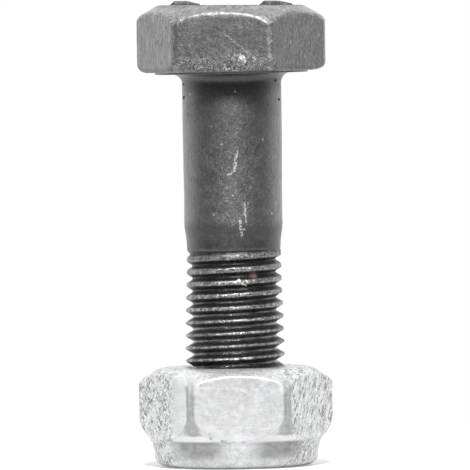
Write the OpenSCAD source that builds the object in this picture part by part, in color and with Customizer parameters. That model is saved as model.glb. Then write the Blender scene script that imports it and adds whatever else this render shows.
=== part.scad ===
// Hexagon bolt with a nylon insert lock nut run a few turns onto its thread.
// It stands on the nut's round collar with the bolt's head at the top. Sizes are in millimetres.

/* [Common] */
// Nominal spanner size, which the head and the nut share
spanner_size = 17; // [16:0.5:19]

/* [Thread] */
// Nominal diameter of the thread
thread_size = 10; // [9:0.25:10.5]
// Rise of the thread in one turn
thread_pitch = 1.25; // [1:0.25:1.5]
// Depth of the bolt's thread from crest to root, as a share of the pitch
thread_depth_share = 0.6134; // [0.55:0.01:0.62]
// How much smaller than nominal the bolt's crests are, in diameter
crest_allowance = 0.24; // [0.1:0.02:0.3]
// Gap between the bolt's flanks and the nut's, square to the flank
flank_play = 0.07; // [0.05:0.01:0.1]
// Gap between crests and the roots that they run in
crest_play = 0.15; // [0.1:0.01:0.2]
// Facets in one turn of the thread
thread_steps = 36; // [24:2:40]
// Height of a crest of the thread at the bolt's right side, which sets where the helix starts
thread_phase = 12.3; // [11.7:0.05:12.9]

/* [Bolt] */
// Length from under the head to the bolt's end
bolt_length = 35; // [30:1:50]
// Length of the rolled thread from the bolt's end to the neck
thread_length = 17.8; // [15:0.2:20]
// How much smaller than nominal the shank is under the head, in diameter
shank_allowance = 0.2; // [0:0.02:0.3]
// Length of the cylindrical stretch of the shank under the head, with the fillet
shank_straight = 10; // [6:0.5:12]
// How much the shank tapers from there to the neck, in diameter
shank_taper = 0.16; // [0:0.02:0.3]
// How much smaller than nominal the neck is where the thread runs out, in diameter
neck_allowance = 0.82; // [0.5:0.02:0.9]
// Length over which the shank narrows to the neck
neck_length = 2.5; // [1.5:0.1:4]
// Length over which the thread gains its full depth below the neck
runout_length = 1.1; // [0.8:0.1:2]
// How much smaller the crests are at the neck than at the bolt's end, in diameter
crest_loss = 0.44; // [0:0.02:0.5]
// Length below the neck over which the crests gain their full size
crest_loss_length = 7.5; // [4:0.5:12]
// Fillet between the shank and the head
head_fillet = 1; // [0.3:0.1:1.2]
// Length of the chamfer on the bolt's end
point_chamfer = 0.9; // [0.6:0.1:1.4]

/* [Head] */
// How much narrower than the spanner size the head is across its flats
head_af_allowance = 0.25; // [0:0.05:0.6]
// How much the head's corners are blunted, in diameter
head_corner_blunt = 0.72; // [0.2:0.02:0.8]
// Height of the head, with its washer face
head_h = 6.7; // [5.5:0.1:8]
// Margin of the flat on top of the head inside the flats
head_flat_margin = 1.2; // [0.6:0.05:1.5]
// Slope of the chamfer round the head's top, in degrees
head_chamfer_angle = 29; // [20:1:40]
// Radius between that chamfer and each corner
head_shoulder_round = 1; // [0.4:0.1:1.2]
// Radius on the lower end of each corner
head_corner_round = 0.8; // [0.3:0.05:1]
// Margin of the washer face inside the flats
washer_face_margin = 0.8; // [0.3:0.1:1.2]
// Height of the washer face
washer_face_h = 0.2; // [0.15:0.05:0.6]
// Turn of the head about the bolt's axis, in degrees
head_turn = -6; // [-30:0.5:30]

/* [Nut] */
// Height of the nut with its collar
nut_h = 9.8; // [9.4:0.1:12]
// How much narrower than the spanner size the nut is across its flats
nut_af_allowance = 0.05; // [0:0.05:0.6]
// How much the nut's corners are blunted, in diameter
nut_corner_blunt = 0.5; // [0.1:0.02:0.7]
// Margin of the bearing face on top of the nut inside the flats
nut_face_margin = 1.45; // [0.6:0.05:1.5]
// Depth of the rounded chamfer round the bearing face
nut_chamfer_h = 2; // [1:0.1:2.4]
// Height of the lower chamfer, from the collar to the wrench flats' corners
lower_chamfer_h = 1; // [0.6:0.1:1.4]
// Height over which the corners draw in above that chamfer
draw_h = 2.1; // [1.4:0.1:2.6]
// How far the corners draw in there
draw_in = 0.54; // [0.3:0.02:0.7]
// Step from the flats in to the collar
collar_step = 0.25; // [0.1:0.01:0.6]
// Height of the collar
collar_h = 2.4; // [2:0.1:3]
// How much the collar's side draws in from its top to its rolled edge
collar_taper = 0.2; // [0:0.02:0.3]
// Height of the rolled edge at the collar's end
collar_roll_h = 1; // [0.8:0.1:1.4]
// How far the rolled edge turns in
collar_roll_in = 1.55; // [1.2:0.05:2]
// Depth of the bolt's end inside the nut, from the collar's rolled edge
bolt_recess = 3.8; // [3.2:0.1:6]
// Depth of the countersink in the bearing face
countersink_h = 0.8; // [0.4:0.1:1.2]
// Turn of the nut about the bolt's axis, in degrees
nut_turn = 2; // [-30:0.5:30]

/* [Nylon insert] */
// How far the ring's bore is below the nominal thread, in diameter, so that the thread forms it
insert_bite = 0.9; // [0.6:0.05:1.1]
// Height of the nylon ring
insert_h = 2.3; // [1.8:0.1:2.6]
// Bevel on the ring's inner edges
insert_edge = 0.3; // [0.1:0.05:0.5]
// Thickness of the collar's wall round the ring
collar_wall = 1.6; // [1.2:0.05:1.7]
// Thickness of the rolled lip under the ring
lip_h = 0.75; // [0.6:0.05:1]
// How far the rolled lip reaches in under the ring
lip_reach = 0.8; // [0.5:0.05:1]
// Clearance of the ring in its seat
insert_play = 0.03; // [0.02:0.01:0.05]

/* [Hidden] */

// The bolt's heights, from the nut's resting place
bolt_end = bolt_recess;
neck_z = bolt_end + thread_length;
bearing_z = bolt_end + bolt_length;
head_top = bearing_z + head_h;

// Widths across the flats
head_af = spanner_size - head_af_allowance;
nut_af = spanner_size - nut_af_allowance;

// The bolt's radii
crest_r = (thread_size - crest_allowance) / 2;
root_r = crest_r - thread_depth_share * thread_pitch;
shank_r = (thread_size - shank_allowance) / 2;
neck_r = (thread_size - neck_allowance) / 2;
head_corner_r = (head_af / cos(30) - head_corner_blunt) / 2;

// The ridges of a thread have flat crests an eighth of the pitch wide and flanks at 60 degrees.
half_crest = thread_pitch / 16;
flank_slope = tan(30);

// The nut's thread, and the nut's radii
nut_root_r = crest_r + crest_play;
nut_crest_r = root_r + crest_play;
nut_half_crest = half_crest + flank_play / cos(30) - crest_play * flank_slope;
nut_corner_r = (nut_af / cos(30) - nut_corner_blunt) / 2;
collar_r = nut_af / 2 - collar_step;

// The ring, its seat in the collar and the lip's opening
insert_r = collar_r - collar_wall - insert_play;
insert_bore_r = (thread_size - insert_bite) / 2;
seat_r = insert_r + insert_play;
seat_high = lip_h + insert_h + 2 * insert_play;
lip_r = insert_r - lip_reach;

// How far the thread's core reaches up inside the neck, and how far cuts run past a face
core_overlap = 0.4;
core_inset = 0.05;
overcut = 1;
arc_steps = 6;
round_fn = 96;

// Points along an arc about (x, y), from one angle to another
function arc(x, y, rx, ry, from, to) =
    [for (i = [0:arc_steps]) let (a = from + (to - from) * i / arc_steps) [x + rx * cos(a), y + ry * sin(a)]];

// Axial offset and radius of the four points of a thread's profile, from one crest to the next
function thread_profile(top_r, low_r, half_w) =
    let (low_half = half_w + (top_r - low_r) * flank_slope)
    [[-half_w, top_r], [half_w, top_r], [low_half, low_r], [thread_pitch - low_half, low_r]];

// A screw surface that covers the heights from low to high, as one closed solid. Each row of points
// follows the helix and runs on into the row one turn higher. shape_point gives the offset and
// radius that a point of the profile takes at a height.
module screw_solid(profile, low, high, shape_point) {
    per_turn = len(profile);
    first_turn = floor((low - thread_phase) / thread_pitch) - 1;
    turns = ceil((high - low) / thread_pitch) + 3;
    rows = turns * per_turn;
    base = thread_phase + first_turn * thread_pitch;

    function point(row, step) =
        let (
            helix_z = base + thread_pitch * (floor(row / per_turn) + step / thread_steps),
            p = shape_point(profile[row % per_turn], helix_z),
            a = 360 * step / thread_steps
        )
        [p[1] * cos(a), p[1] * sin(a), helix_z + p[0]];

    function index(row, step) =
        step < thread_steps ? row * thread_steps + step : (row + per_turn) * thread_steps;

    top_row = rows - 1 - per_turn;
    bottom_centre = rows * thread_steps;
    top_centre = bottom_centre + 1;
    points = [
        for (row = [0:rows - 1]) for (step = [0:thread_steps - 1]) point(row, step),
        [0, 0, base],
        [0, 0, base + (turns - 1) * thread_pitch]
    ];
    wall = [
        for (row = [0:top_row - 1]) for (step = [0:thread_steps - 1])
            each [
                [index(row, step), index(row + 1, step), index(row + 1, step + 1)],
                [index(row, step), index(row + 1, step + 1), index(row, step + 1)]
            ]
    ];
    bottom = [
        for (step = [0:thread_steps - 1]) [bottom_centre, index(0, step), index(0, step + 1)],
        for (row = [0:per_turn - 1]) [bottom_centre, index(row + 1, 0), index(row, 0)]
    ];
    top = [
        for (step = [0:thread_steps - 1]) [top_centre, index(top_row, step + 1), index(top_row, step)],
        for (row = [top_row:top_row + per_turn - 1]) [top_centre, index(row, 0), index(row + 1, 0)]
    ];
    polyhedron(points, concat(wall, bottom, top), convexity = 10);
}

// The bolt's thread: full along most of it, its crests cut lower and wider towards the neck,
// drawn together to the neck where the thread runs out, and tapered at the bolt's end
bolt_point = function (p, helix_z)
    let (
        worn = min(1, max(0, 1 + (helix_z - neck_z) / crest_loss_length)),
        cut = max(0, p[1] - crest_r + crest_loss / 2 * sin(90 * worn)),
        offset = p[0] + sign(p[0]) * cut * flank_slope,
        z = helix_z + offset,
        full = min(1, max(0, (neck_z - z) / runout_length)),
        core_r = neck_r - core_inset,
        point_r = crest_r - point_chamfer
    )
    [offset, min(core_r + (p[1] - cut - core_r) * full, max(point_r, point_r + z - bolt_end))];

nut_point = function (p, helix_z) p;

// A hexagonal prism with one pair of flats square to the Y axis
module hexagon_prism(across_flats, low, high) {
    translate([0, 0, low])
        cylinder(h = high - low, d = across_flats / cos(30), $fn = 6);
}

// The head's turned outline: washer face, corners rounded at both ends, and chamfered top
module head_outline() {
    under = bearing_z + washer_face_h;
    washer_r = head_af / 2 - washer_face_margin;
    flat_r = head_af / 2 - head_flat_margin;
    chamfer_drop = (head_corner_r - flat_r) * tan(head_chamfer_angle);
    shoulder_z = head_top - chamfer_drop - head_shoulder_round * tan(45 - head_chamfer_angle / 2);
    polygon(concat(
        [[0, bearing_z], [washer_r, bearing_z], [washer_r, under]],
        arc(head_corner_r - head_corner_round, under + head_corner_round, head_corner_round,
            head_corner_round, -90, 0),
        arc(head_corner_r - head_shoulder_round, shoulder_z, head_shoulder_round,
            head_shoulder_round, 0, 90 - head_chamfer_angle),
        [[flat_r, head_top], [0, head_top]]
    ));
}

// The plain shank: fillet under the head, slight taper, then the neck above the thread
module shank_outline() {
    low_r = shank_r - shank_taper / 2;
    neck_top = neck_z + neck_length;
    polygon(concat(
        [[0, neck_z], [neck_r, neck_z]],
        [for (i = [1:arc_steps]) let (t = i / arc_steps)
            [neck_r + (low_r - neck_r) * sin(90 * t), neck_z + neck_length * t]],
        [[shank_r, bearing_z - shank_straight]],
        arc(shank_r + head_fillet, bearing_z - head_fillet, head_fillet, head_fillet, 180, 90),
        [[shank_r + head_fillet, bearing_z + washer_face_h], [0, bearing_z + washer_face_h]]
    ));
}

module bolt() {
    color("dimgray") {
        rotate(head_turn)
            intersection() {
                hexagon_prism(head_af, bearing_z, head_top);
                rotate_extrude($fn = round_fn) head_outline();
            }
        rotate_extrude($fn = round_fn) shank_outline();
        intersection() {
            screw_solid(thread_profile(crest_r, root_r, half_crest), bolt_end, neck_z + core_overlap,
                bolt_point);
            translate([0, 0, bolt_end])
                cylinder(h = thread_length + core_overlap, r = 2 * crest_r, $fn = round_fn);
        }
    }
}

// The nut's turned outline: rounded chamfer at the bearing face, corners drawn in towards the
// collar, a lower chamfer, and the collar with its rolled edge
module nut_outline() {
    face_r = nut_af / 2 - nut_face_margin;
    shoulder_z = collar_h + lower_chamfer_h;
    chamfer_start = 30;
    chamfer_span_r = (nut_corner_r - face_r) / (1 - sin(chamfer_start));
    chamfer_span_h = nut_chamfer_h / cos(chamfer_start);
    roll_r = collar_r - collar_taper;
    polygon(concat(
        [[0, nut_h], [face_r, nut_h]],
        [for (i = [1:arc_steps]) let (a = chamfer_start + (90 - chamfer_start) * i / arc_steps)
            [face_r + chamfer_span_r * (sin(a) - sin(chamfer_start)),
             nut_h - chamfer_span_h * (cos(chamfer_start) - cos(a))]],
        [for (i = [0:arc_steps]) let (t = i / arc_steps)
            [nut_corner_r - draw_in * t * t, shoulder_z + draw_h * (1 - t)]],
        [[collar_r, collar_h]],
        arc(roll_r - collar_roll_in, collar_roll_h, collar_roll_in, collar_roll_h, 0, -90),
        [[0, 0]]
    ));
}

module lock_nut() {
    color("gainsboro")
        difference() {
            rotate(nut_turn)
                intersection() {
                    hexagon_prism(nut_af, -overcut, nut_h + overcut);
                    rotate_extrude($fn = round_fn) nut_outline();
                }
            screw_solid(thread_profile(nut_root_r, nut_crest_r, nut_half_crest), seat_high, nut_h,
                nut_point);
            translate([0, 0, nut_h - countersink_h - overcut])
                cylinder(h = countersink_h + 2 * overcut, r1 = nut_crest_r - overcut,
                    r2 = nut_crest_r + countersink_h + overcut, $fn = round_fn);
            translate([0, 0, lip_h])
                cylinder(h = seat_high - lip_h, r = seat_r, $fn = round_fn);
            translate([0, 0, -overcut])
                cylinder(h = lip_h + 2 * overcut, r = lip_r, $fn = round_fn);
        }
}

// The nylon ring under the rolled lip, with its inner edges bevelled
module nylon_insert() {
    low = lip_h + insert_play;
    high = low + insert_h;
    color("whitesmoke")
        rotate_extrude($fn = round_fn)
            polygon([
                [insert_bore_r + insert_edge, low],
                [insert_r, low],
                [insert_r, high],
                [insert_bore_r + insert_edge, high],
                [insert_bore_r, high - insert_edge],
                [insert_bore_r, low + insert_edge]
            ]);
}

bolt();
lock_nut();
nylon_insert();
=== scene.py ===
"""Worn hexagon bolt with a zinc-plated lock nut, dressed for a plain studio photograph."""

import math
from functools import partialmethod

import bpy
import numpy as np
from mathutils import Matrix, Vector


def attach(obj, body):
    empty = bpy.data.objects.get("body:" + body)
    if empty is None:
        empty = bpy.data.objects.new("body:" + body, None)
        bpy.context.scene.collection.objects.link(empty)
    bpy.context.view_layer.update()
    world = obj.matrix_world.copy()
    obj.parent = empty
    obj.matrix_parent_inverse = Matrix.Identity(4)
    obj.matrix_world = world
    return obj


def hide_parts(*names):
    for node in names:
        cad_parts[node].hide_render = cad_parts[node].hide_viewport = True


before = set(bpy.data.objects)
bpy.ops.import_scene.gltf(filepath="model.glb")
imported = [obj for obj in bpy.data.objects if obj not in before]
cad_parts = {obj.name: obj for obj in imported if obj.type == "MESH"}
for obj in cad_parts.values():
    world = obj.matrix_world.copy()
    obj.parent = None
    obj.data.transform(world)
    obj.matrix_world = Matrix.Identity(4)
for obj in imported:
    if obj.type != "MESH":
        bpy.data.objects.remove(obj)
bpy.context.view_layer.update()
MM = 0.001

# The part's sizes in millimetres
PITCH = 1.25
PHASE = 12.3
BOLT_END = 3.8
NECK_Z = 21.6
RUNOUT = 1.1
BEARING_Z = 38.8
HEAD_TOP = 45.5
CREST_R = 4.88
ROOT_R = 4.113
FLANK = math.tan(math.radians(30))
HALF_CREST = PITCH / 16
ROOT_START = HALF_CREST + (CREST_R - ROOT_R) * FLANK
CREST_LOSS = 0.22
CREST_LOSS_LENGTH = 7.5
CREST_ROUND = 0.07
ROOT_ROUND = 0.14
POINT_R = 3.98
SHANK_R = 4.9
FILLET_R = 1.0
HEAD_TURN = -6.0
HEAD_AF = 16.75
HEAD_CORNER_R = 9.31
HEAD_FLAT_R = 7.175
HEAD_CHAMFER_DEG = 29
LOWER_ROUND = 0.8
WASHER_R = 7.56
WASHER_H = 0.2
NUT_H = 9.8
NUT_AF = 16.95
NUT_CORNER_R = 9.54
NUT_TURN = 2.0
FACE_R = 7.025
COLLAR_H = 2.4
COLLAR_R = 8.225
CREST_PLAY = 0.15
FLANK_PLAY = 0.07
NUT_ROOT_R = CREST_R + CREST_PLAY
NUT_CREST_R = ROOT_R + CREST_PLAY
COUNTERSINK_R = 5.06
COUNTERSINK_H = 0.8
SEAT_R = 6.625
SEAT_HIGH = 3.11
SEAT_EDGE_R = 4.3
LIP_H = 0.75
LIP_R = 5.795
# Heights up the neck and shank, and the radius at each
SHANK_PROFILE = (
    (21.5, 4.62), (22.0, 4.635), (22.4, 4.665), (22.8, 4.72), (23.2, 4.78), (23.6, 4.84), (23.9, 4.866),
    (24.2, 4.862), (24.7, 4.84), (25.4, 4.825), (26.4, 4.825), (28.6, 4.86), (31.0, 4.88), (33.0, 4.9))
# Radii out over the nut's upper chamfer, and the height at each
CHAMFER_PROFILE = (
    (7.025, 9.8), (7.2, 9.78), (7.4, 9.73), (7.6, 9.66), (7.9, 9.52), (8.2, 9.35), (8.5, 9.17), (8.8, 8.98),
    (9.0, 8.84), (9.2, 8.69), (9.35, 8.55), (9.47, 8.41), (9.56, 8.27), (9.63, 8.16), (9.7, 8.06))

# The meshes: columns on each of a hexagon's sides, how much closer they stand near its corners, rows in a
# turn of thread, the corner that each thread starts at, the nut's rows by their distance from a groove's
# middle, and how far above the neck's foot the bolt's rows run
COLUMNS_PER_SIDE = 46
COLUMN_CROWDING = 0.62
TURN_ROWS = 12
BOLT_START_DEG = HEAD_TURN + 120
NUT_START_DEG = NUT_TURN + 120
NUT_ROWS = (0, 0.05, 0.13, 0.22, 0.36, 0.5, 0.625, 0.75, 0.89, 1.03, 1.12, 1.2)
THREAD_OVERRUN = 1.6

# The raised marks, how far below a crest its worn edge reaches, and how far dents may lift the thread
MARK_GRID = 0.06
MARK_H = 0.42
MARK_SLOPE = 0.07
MARK_MARGIN = 0.4
MARK_SINK = 0.12
CREST_EDGE = 0.12
MOST_THREAD_SWELL = 0.018

# Camera: place, aim and roll found from the photograph's proportions, and the width of the picture there
CAMERA_PLACE = (0.0, -0.93, 0.0476)
CAMERA_AIM = (0.000136, 0.0, 0.0228)
CAMERA_ROLL_DEG = -0.78
FRAME_WIDTH = 0.0464
SENSOR_WIDTH_MM = 36.0

# Light: radiance round the room by share of the way from the camera's side to the back, the share from
# which the room is white to metal too, lamp and floor
WORLD_STOPS = ((0.0, 0.08), (0.20, 0.08), (0.40, 0.10), (0.50, 0.32), (0.585, 0.90), (1.0, 0.95))
WORLD_TOP_SHARE = 0.3
BACKDROP_START = 0.585
BACKDROP_SOFT = 0.1
KEY_PLACE = (0.0, -0.44, 0.40)
KEY_AIM = (0, 0, 0.025)
KEY_SIZE = 0.14
KEY_POWER = 4.6
FLOOR_R = 0.078
FLOOR_Z = -0.00002
FLOOR_BASE = 0.65
FLOOR_GLOW = 0.4
FLOOR_GLOSSY_GLOW = 0.2

# Paint: where masks rise on the bolt's head, its front and the shank, how metallic each metal is, the
# bolt's coat and dark grey, how worn its chamfer is and how bright the nut's, zinc's touch of blue, rust,
# nylon, and the radius that scratches are wrapped round
ON_HEAD = (38.95, 39.05)
ON_FRONT = (-7, -8)
ON_SHANK = (38.9, 38.5)
BOLT_METALLIC = 0.85
BOLT_COAT = 0.7
BOLT_DARK = 0.115
BEVEL_WEAR = 0.54
NUT_METALLIC = 0.7
BEVEL_BRIGHT = 0.6
ZINC_TINT = (0.985, 0.99, 1.0)
RUST = (0.42, 0.29, 0.25, 1)
NYLON_IOR = 1.53
WRAP_R = 8.5


# Shaping helpers

def soft_min(a, b, k):
    """The smaller of two values, with their crossing rounded over a width k."""
    h = np.clip(0.5 + 0.5 * (b - a) / k, 0.0, 1.0)
    return b + (a - b) * h - k * h * (1 - h)


def soft_max(a, b, k):
    """The larger of two values, rounded in the same way."""
    return -soft_min(-a, -b, k)


def smooth(t):
    """A smooth step from 0 to 1."""
    t = np.clip(t, 0.0, 1.0)
    return t * t * (3 - 2 * t)


def hash_number(i, j, k, seed):
    """A repeatable random number from 0 to 1 for each lattice point."""
    h = (i * 374761393 + j * 668265263 + k * 1274126177 + seed * 974634777) & 0x7FFFFFFF
    h = ((h ^ (h >> 13)) * 1103515245 + 12345) & 0x7FFFFFFF
    h = ((h ^ (h >> 15)) * 668265263) & 0x7FFFFFFF
    return (h ^ (h >> 14)) / 0x7FFFFFFF


def noise(points, size, seed):
    """Smooth noise from -1 to 1, with cells of a size in millimetres."""
    q = points / size
    base = np.floor(q).astype(np.int64)
    f = q - base
    f = f * f * (3 - 2 * f)
    total = np.zeros(len(points))
    for corner in np.ndindex(2, 2, 2):
        corner = corner[::-1]
        weight = np.where(corner, f, 1 - f).prod(axis=1)
        total += weight * hash_number(*(base + corner).T, seed)
    return 2 * total - 1


def dents(points, size, seed, least=0.0):
    """What a noise has above a value, from 0 to 1."""
    return np.clip(noise(points, size, seed) - least, 0, 1)


def column_angles(corner_deg):
    """Angles round the axis in radians, from a hexagon's corner on, closer together near its corners."""
    s = np.arange(COLUMNS_PER_SIDE) / COLUMNS_PER_SIDE
    side = 60 * (s - COLUMN_CROWDING * np.sin(2 * np.pi * s) / (2 * np.pi))
    return np.radians(np.concatenate([corner_deg + 60 * k + side for k in range(6)]))


def hexagon_radius(theta, across_flats, turn_deg, corner_r, k):
    """Distance from the axis to a hexagon's side, with its corners blunted."""
    phi = (np.degrees(theta) - turn_deg) % 60 - 30
    flat = across_flats / 2 / np.cos(np.radians(phi))
    return soft_min(flat, corner_r, k)


def helix(theta, start_deg, low, high):
    """The crest's height along rows that follow the thread, from below one height to a turn above
    another, and each row's number in its turn."""
    lift = PHASE + PITCH * start_deg / 360
    first = math.floor((low - lift) / PITCH) - 1
    last = math.ceil((high - lift) / PITCH)
    turn, j = np.divmod(np.arange((last - first + 1) * TURN_ROWS + 1), TURN_ROWS)
    return PHASE + PITCH * ((first + turn)[:, None] + np.degrees(theta) / 360), j


class Skin:
    """Rows of points round the axis, joined into one mesh. Each point has marks for its material."""

    # deep also marks painted shade in creases and under the bolt's head; side marks the bolt's left front
    # flat, painted lighter as a reflection, and the nut's foot, painted with dark reflections
    MARKS = ("edge", "thread", "deep", "bevel", "side", "corner")

    def __init__(self, theta):
        self.theta = theta
        self.n = len(theta)
        self.points = []
        self.marks = {name: [] for name in self.MARKS}
        self.columns = {}
        self.faces = {4: [], 3: []}
        self.count = 0

    def around(self, r, z):
        """Points at radii r and heights z, with one column for each angle."""
        return np.stack(np.broadcast_arrays(r * np.cos(self.theta), r * np.sin(self.theta), z), -1)

    def add(self, points, **marks):
        """Adds an array of points, with an array or one value for each mark, and returns their numbers."""
        shape = np.shape(points)[:-1]
        self.points.append(np.reshape(points, (-1, 3)))
        for name in self.MARKS:
            self.marks[name].append(np.broadcast_to(marks.get(name, 0.0), shape).ravel())
        first, self.count = self.count, self.count + len(self.points[-1])
        return np.arange(first, self.count).reshape(shape)

    def face(self, *corners, flip=False):
        """Adds faces from the numbers of their corners in turn, turned over if flip is set."""
        corners = np.broadcast_arrays(*(corners[::-1] if flip else corners))
        self.faces[len(corners)].append(np.stack(corners, 1))

    def ring(self, r, z, **marks):
        """A row of points at radius r and height z, either of which may vary round the axis."""
        return self.add(self.around(r, z), **{**self.columns, **marks})

    def join(self, a, b):
        """Faces between two rows, with b further along the outline than a."""
        self.face(a, np.roll(a, -1), np.roll(b, -1), b)

    def step(self, last, r, z, **marks):
        """A row joined to the one before it."""
        row = self.ring(r, z, **marks)
        self.join(last, row)
        return row

    def outline(self, last, rows):
        """Rows for a list of (r, z) or (r, z, marks), each joined to the one before."""
        for r, z, *marks in rows:
            last = self.step(last, r, z, **(marks[0] if marks else {}))
        return last

    def polygon(self, numbers, flip):
        """Fills a polygon with triangles that all start at its first point."""
        numbers = np.array(numbers)
        self.face(numbers[0], numbers[1:-1], numbers[2:], flip=flip)

    def spiral(self, points, flip=False, **marks):
        """Rows of points that each run on into the row one turn higher. Returns a function that gives
        the number of a row's and column's point, and the last whole row."""
        numbers = self.add(points, **marks)
        rows, n = numbers.shape

        def at(row, column):
            return numbers[row + column // n * TURN_ROWS, column % n]

        top = rows - TURN_ROWS - 1
        row, column = [v.ravel() for v in np.indices((top, n))]
        above, after = row + 1, column + 1
        self.face(at(row, column), at(row, after), at(above, after), at(above, column), flip=flip)
        return at, top

    def close_above(self, at, top, ring, flip=False):
        """Joins the helical top edge of a spiral to a level row above it."""
        c = np.arange(1, self.n)
        self.face(at(top, c), at(top, c + 1), ring[(c + 1) % self.n], ring[c], flip=flip)
        steps = [at(top + TURN_ROWS - k, 0) for k in range(TURN_ROWS + 1)]
        self.polygon([at(top, 1), ring[1], ring[0]] + steps, flip)

    def close_below(self, at, ring, flip=False):
        """Joins the helical lower edge of a spiral to a level row, or to one point, below it."""
        c = np.arange(self.n - 1)
        steps = [at(k, 0) for k in range(TURN_ROWS + 1)]
        if np.ndim(ring) == 0:
            self.face(ring, at(0, c + 1), at(0, c), flip=flip)
            self.polygon([at(0, self.n - 1), ring] + steps, flip)
        else:
            self.face(ring[c], ring[c + 1], at(0, c + 1), at(0, c), flip=flip)
            self.polygon([at(0, self.n - 1), ring[-1], ring[0]] + steps, flip)

    def build(self, name, roughen=None):
        """Makes the object, in metres. roughen(points, normals, marks) may move the points."""
        points = np.concatenate(self.points)
        faces = [np.concatenate(found) for found in self.faces.values() if found]
        used = np.unique(np.concatenate([kind.ravel() for kind in faces]))
        renumber = np.full(len(points), -1)
        renumber[used] = np.arange(len(used))
        points, faces = points[used], [renumber[kind] for kind in faces]
        marks = {key: np.concatenate(values)[used] for key, values in self.marks.items()}
        if roughen is not None:
            points = roughen(points, point_normals(points, faces), marks)
        mesh = bpy.data.meshes.new(name)
        mesh.from_pydata((points * MM).tolist(), [], [face for kind in faces for face in kind.tolist()])
        mesh.polygons.foreach_set("use_smooth", [True] * len(mesh.polygons))
        for key, values in marks.items():
            layer = mesh.attributes.new(key, "FLOAT", "POINT")
            layer.data.foreach_set("value", values.astype(np.float32))
        mesh.update()
        return add_object(name, mesh)


def add_object(name, data):
    """An object in the scene that shows a mesh, a lamp or a camera."""
    thing = bpy.data.objects.new(name, data)
    bpy.context.scene.collection.objects.link(thing)
    return thing


def point_normals(points, faces):
    """Unit normals of the points, from the faces round them."""
    normals = np.zeros_like(points)
    for kind in faces:
        a, b, c, *d = [points[column] for column in kind.T]
        face_normals = np.cross(c - a, d[0] - b) if d else np.cross(b - a, c - a)
        for column in kind.T:
            np.add.at(normals, column, face_normals)
    return normals / np.maximum(np.linalg.norm(normals, axis=1, keepdims=True), 1e-12)


# The bolt

def shank_radius(z):
    """Radius of the plain shank and of the neck below it."""
    return np.interp(z, *zip(*SHANK_PROFILE))


def crest_radius(z):
    """Radius of the thread's crests, which are cut lower towards the neck."""
    worn = np.clip(1 + (z - NECK_Z) / CREST_LOSS_LENGTH, 0.0, 1.0)
    return CREST_R - CREST_LOSS * np.sin(np.pi / 2 * worn)


def half_crest_width(z):
    """Half the width of a crest's flat, which is wider where the crests are cut lower."""
    return HALF_CREST + (CREST_R - crest_radius(z)) * FLANK


def row_offsets(j, half_crest):
    """Distance of each row from its crest's middle line."""
    half = np.stack(np.broadcast_arrays(0.0, half_crest, half_crest + 0.05, half_crest + 0.17,
                                        ROOT_START - 0.08, ROOT_START + 0.03, PITCH / 2))
    near = half[np.minimum(j, TURN_ROWS - j), np.arange(len(j))]
    return np.where(j[:, None] <= TURN_ROWS // 2, near, PITCH - near)


def thread_shape(z, d):
    """Radius of the bolt's thread, at distance d from the middle of a crest."""
    d = np.minimum(d, PITCH - d)
    top = crest_radius(z)
    flank = top + (half_crest_width(z) - d) / FLANK
    r = soft_max(soft_min(top, flank, CREST_ROUND), ROOT_R, ROOT_ROUND)
    depth = smooth((NECK_Z - z) / RUNOUT * 0.9 + 0.05)
    neck = shank_radius(z)
    return neck + (r - neck) * depth


def bolt_thread(skin):
    """The thread as one spiral, from the middle of the bolt's end face up onto the neck."""
    base, j = helix(skin.theta, BOLT_START_DEG, BOLT_END, NECK_Z + THREAD_OVERRUN)
    d = row_offsets(j, half_crest_width(base))
    raw = base + d
    r = thread_shape(np.minimum(raw, NECK_Z + 3), d)
    r = soft_min(r, POINT_R + np.maximum(raw - BOLT_END, 0), 0.12)
    # Rows from below the end are drawn in over its face
    below = np.maximum(BOLT_END - raw, 0)
    r = np.where(below > 0, np.maximum(r - below * 2.2, 0.6 * (1 - below / 20)), r)
    z = np.maximum(raw, BOLT_END)
    in_thread = smooth((NECK_Z + 0.1 - z) / 0.5) * (z > BOLT_END + 0.01)
    sunk = crest_radius(z) - r
    deep = np.clip(sunk / (CREST_R - ROOT_R), 0, 1) * in_thread
    crest = np.clip(1 - sunk / CREST_EDGE, 0, 1) * in_thread
    at, top = skin.spiral(skin.around(r, z), thread=in_thread, deep=deep, edge=crest)
    skin.close_below(at, skin.add([0.0, 0.0, BOLT_END]))
    return at, top, float(z[top:].max())


def head_top(rho):
    """Height of the head's top chamfer at a distance from its middle, falling away towards the corners."""
    fall = (rho - HEAD_FLAT_R) * math.tan(math.radians(HEAD_CHAMFER_DEG))
    return HEAD_TOP - fall - 0.32 * np.clip((rho - 8.8) / 0.7, 0, 2) ** 2


def head_underside(skin, last, wall):
    """The washer face and the hexagon's underside, with the corners rounded up to the sides."""
    under = BEARING_Z + WASHER_H
    # Painted shade in the crease between the washer face and the hexagon, through the deep mark
    dark = {"deep": 0.5}
    last = skin.outline(last, [
        (6.3, BEARING_Z), (7.0, BEARING_Z), (WASHER_R - 0.08, BEARING_Z),
        (WASHER_R - 0.02, BEARING_Z + 0.02), (WASHER_R, BEARING_Z + 0.07),
        (WASHER_R, under - 0.04, dark), (WASHER_R + 0.04, under, dark), (WASHER_R + 0.2, under)])
    excess = np.clip((wall - (HEAD_CORNER_R - LOWER_ROUND)) / LOWER_ROUND, 0, 0.98)
    low = under + LOWER_ROUND * (1 - np.sqrt(1 - excess ** 2))
    for share in (0.35, 0.7):
        reach = WASHER_R + 0.2 + (wall - 0.5 - WASHER_R) * share
        last = skin.step(last, reach, under + (low - under) * share * share * 0.3)
    worn = {"edge": 0.25}
    return skin.outline(last, [
        (wall - 0.28, low - 0.05 * (low > under + 0.02)), (wall - 0.1, low + 0.005),
        (wall - 0.03, low + 0.04, worn), (wall, low + 0.11, worn), (wall, low + 0.2)]), low


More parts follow.
